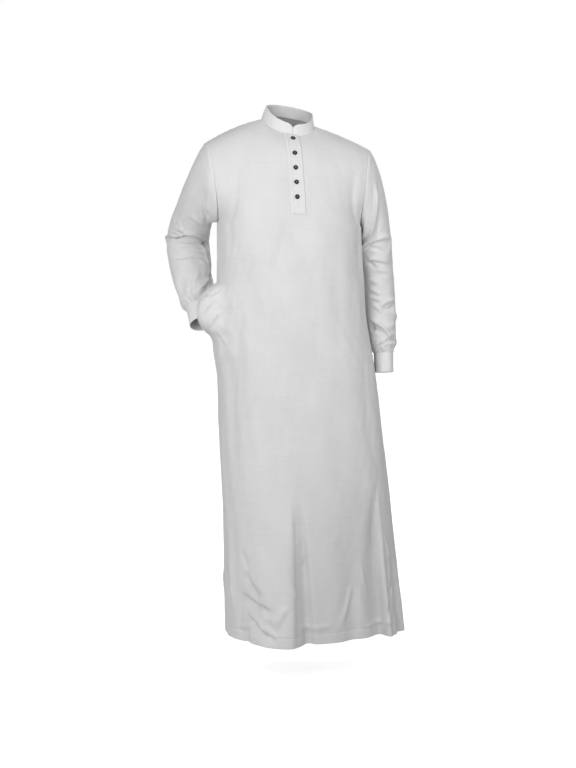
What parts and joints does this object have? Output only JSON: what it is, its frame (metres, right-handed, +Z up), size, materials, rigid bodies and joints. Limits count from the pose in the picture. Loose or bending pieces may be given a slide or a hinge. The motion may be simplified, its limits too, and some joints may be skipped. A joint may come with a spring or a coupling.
{
  "type": "thobe robe",
  "caption": "Ankle-length long-sleeved robe in worn hollow form, with a stand collar, a buttoned front placket, narrow cuffs and a side-seam pocket with an arm bent towards it.",
  "frame": {"origin": "centre of the neck seam, between the two shoulders that hold the robe up", "axes": "+Z up along the robe from hem to collar, -Y the front with the placket, -X the wearer's right"},
  "size_m": [0.6445, 0.4018, 1.457],
  "materials": {
    "white_cloth": "white plain-woven cotton and linen with a fine slub, matte",
    "doubled_cloth": "the same white cloth doubled and topstitched, matte",
    "pocket_cloth": "plain white pocket cloth, matte",
    "button": "near-black moulded button with a raised rim, low gloss"
  },
  "bodies": {
    "root": {"front": "white_cloth", "back": "white_cloth", "sleeve_right": "white_cloth", "sleeve_left": "white_cloth", "pocket_bag": "pocket_cloth", "collar": "doubled_cloth", "cuff_right": "doubled_cloth", "cuff_left": "doubled_cloth", "placket": "doubled_cloth", "placket_under": "doubled_cloth", "button_1": "button", "button_2": "button", "button_3": "button", "button_4": "button", "button_5": "button"}
  },
  "joints": []
}
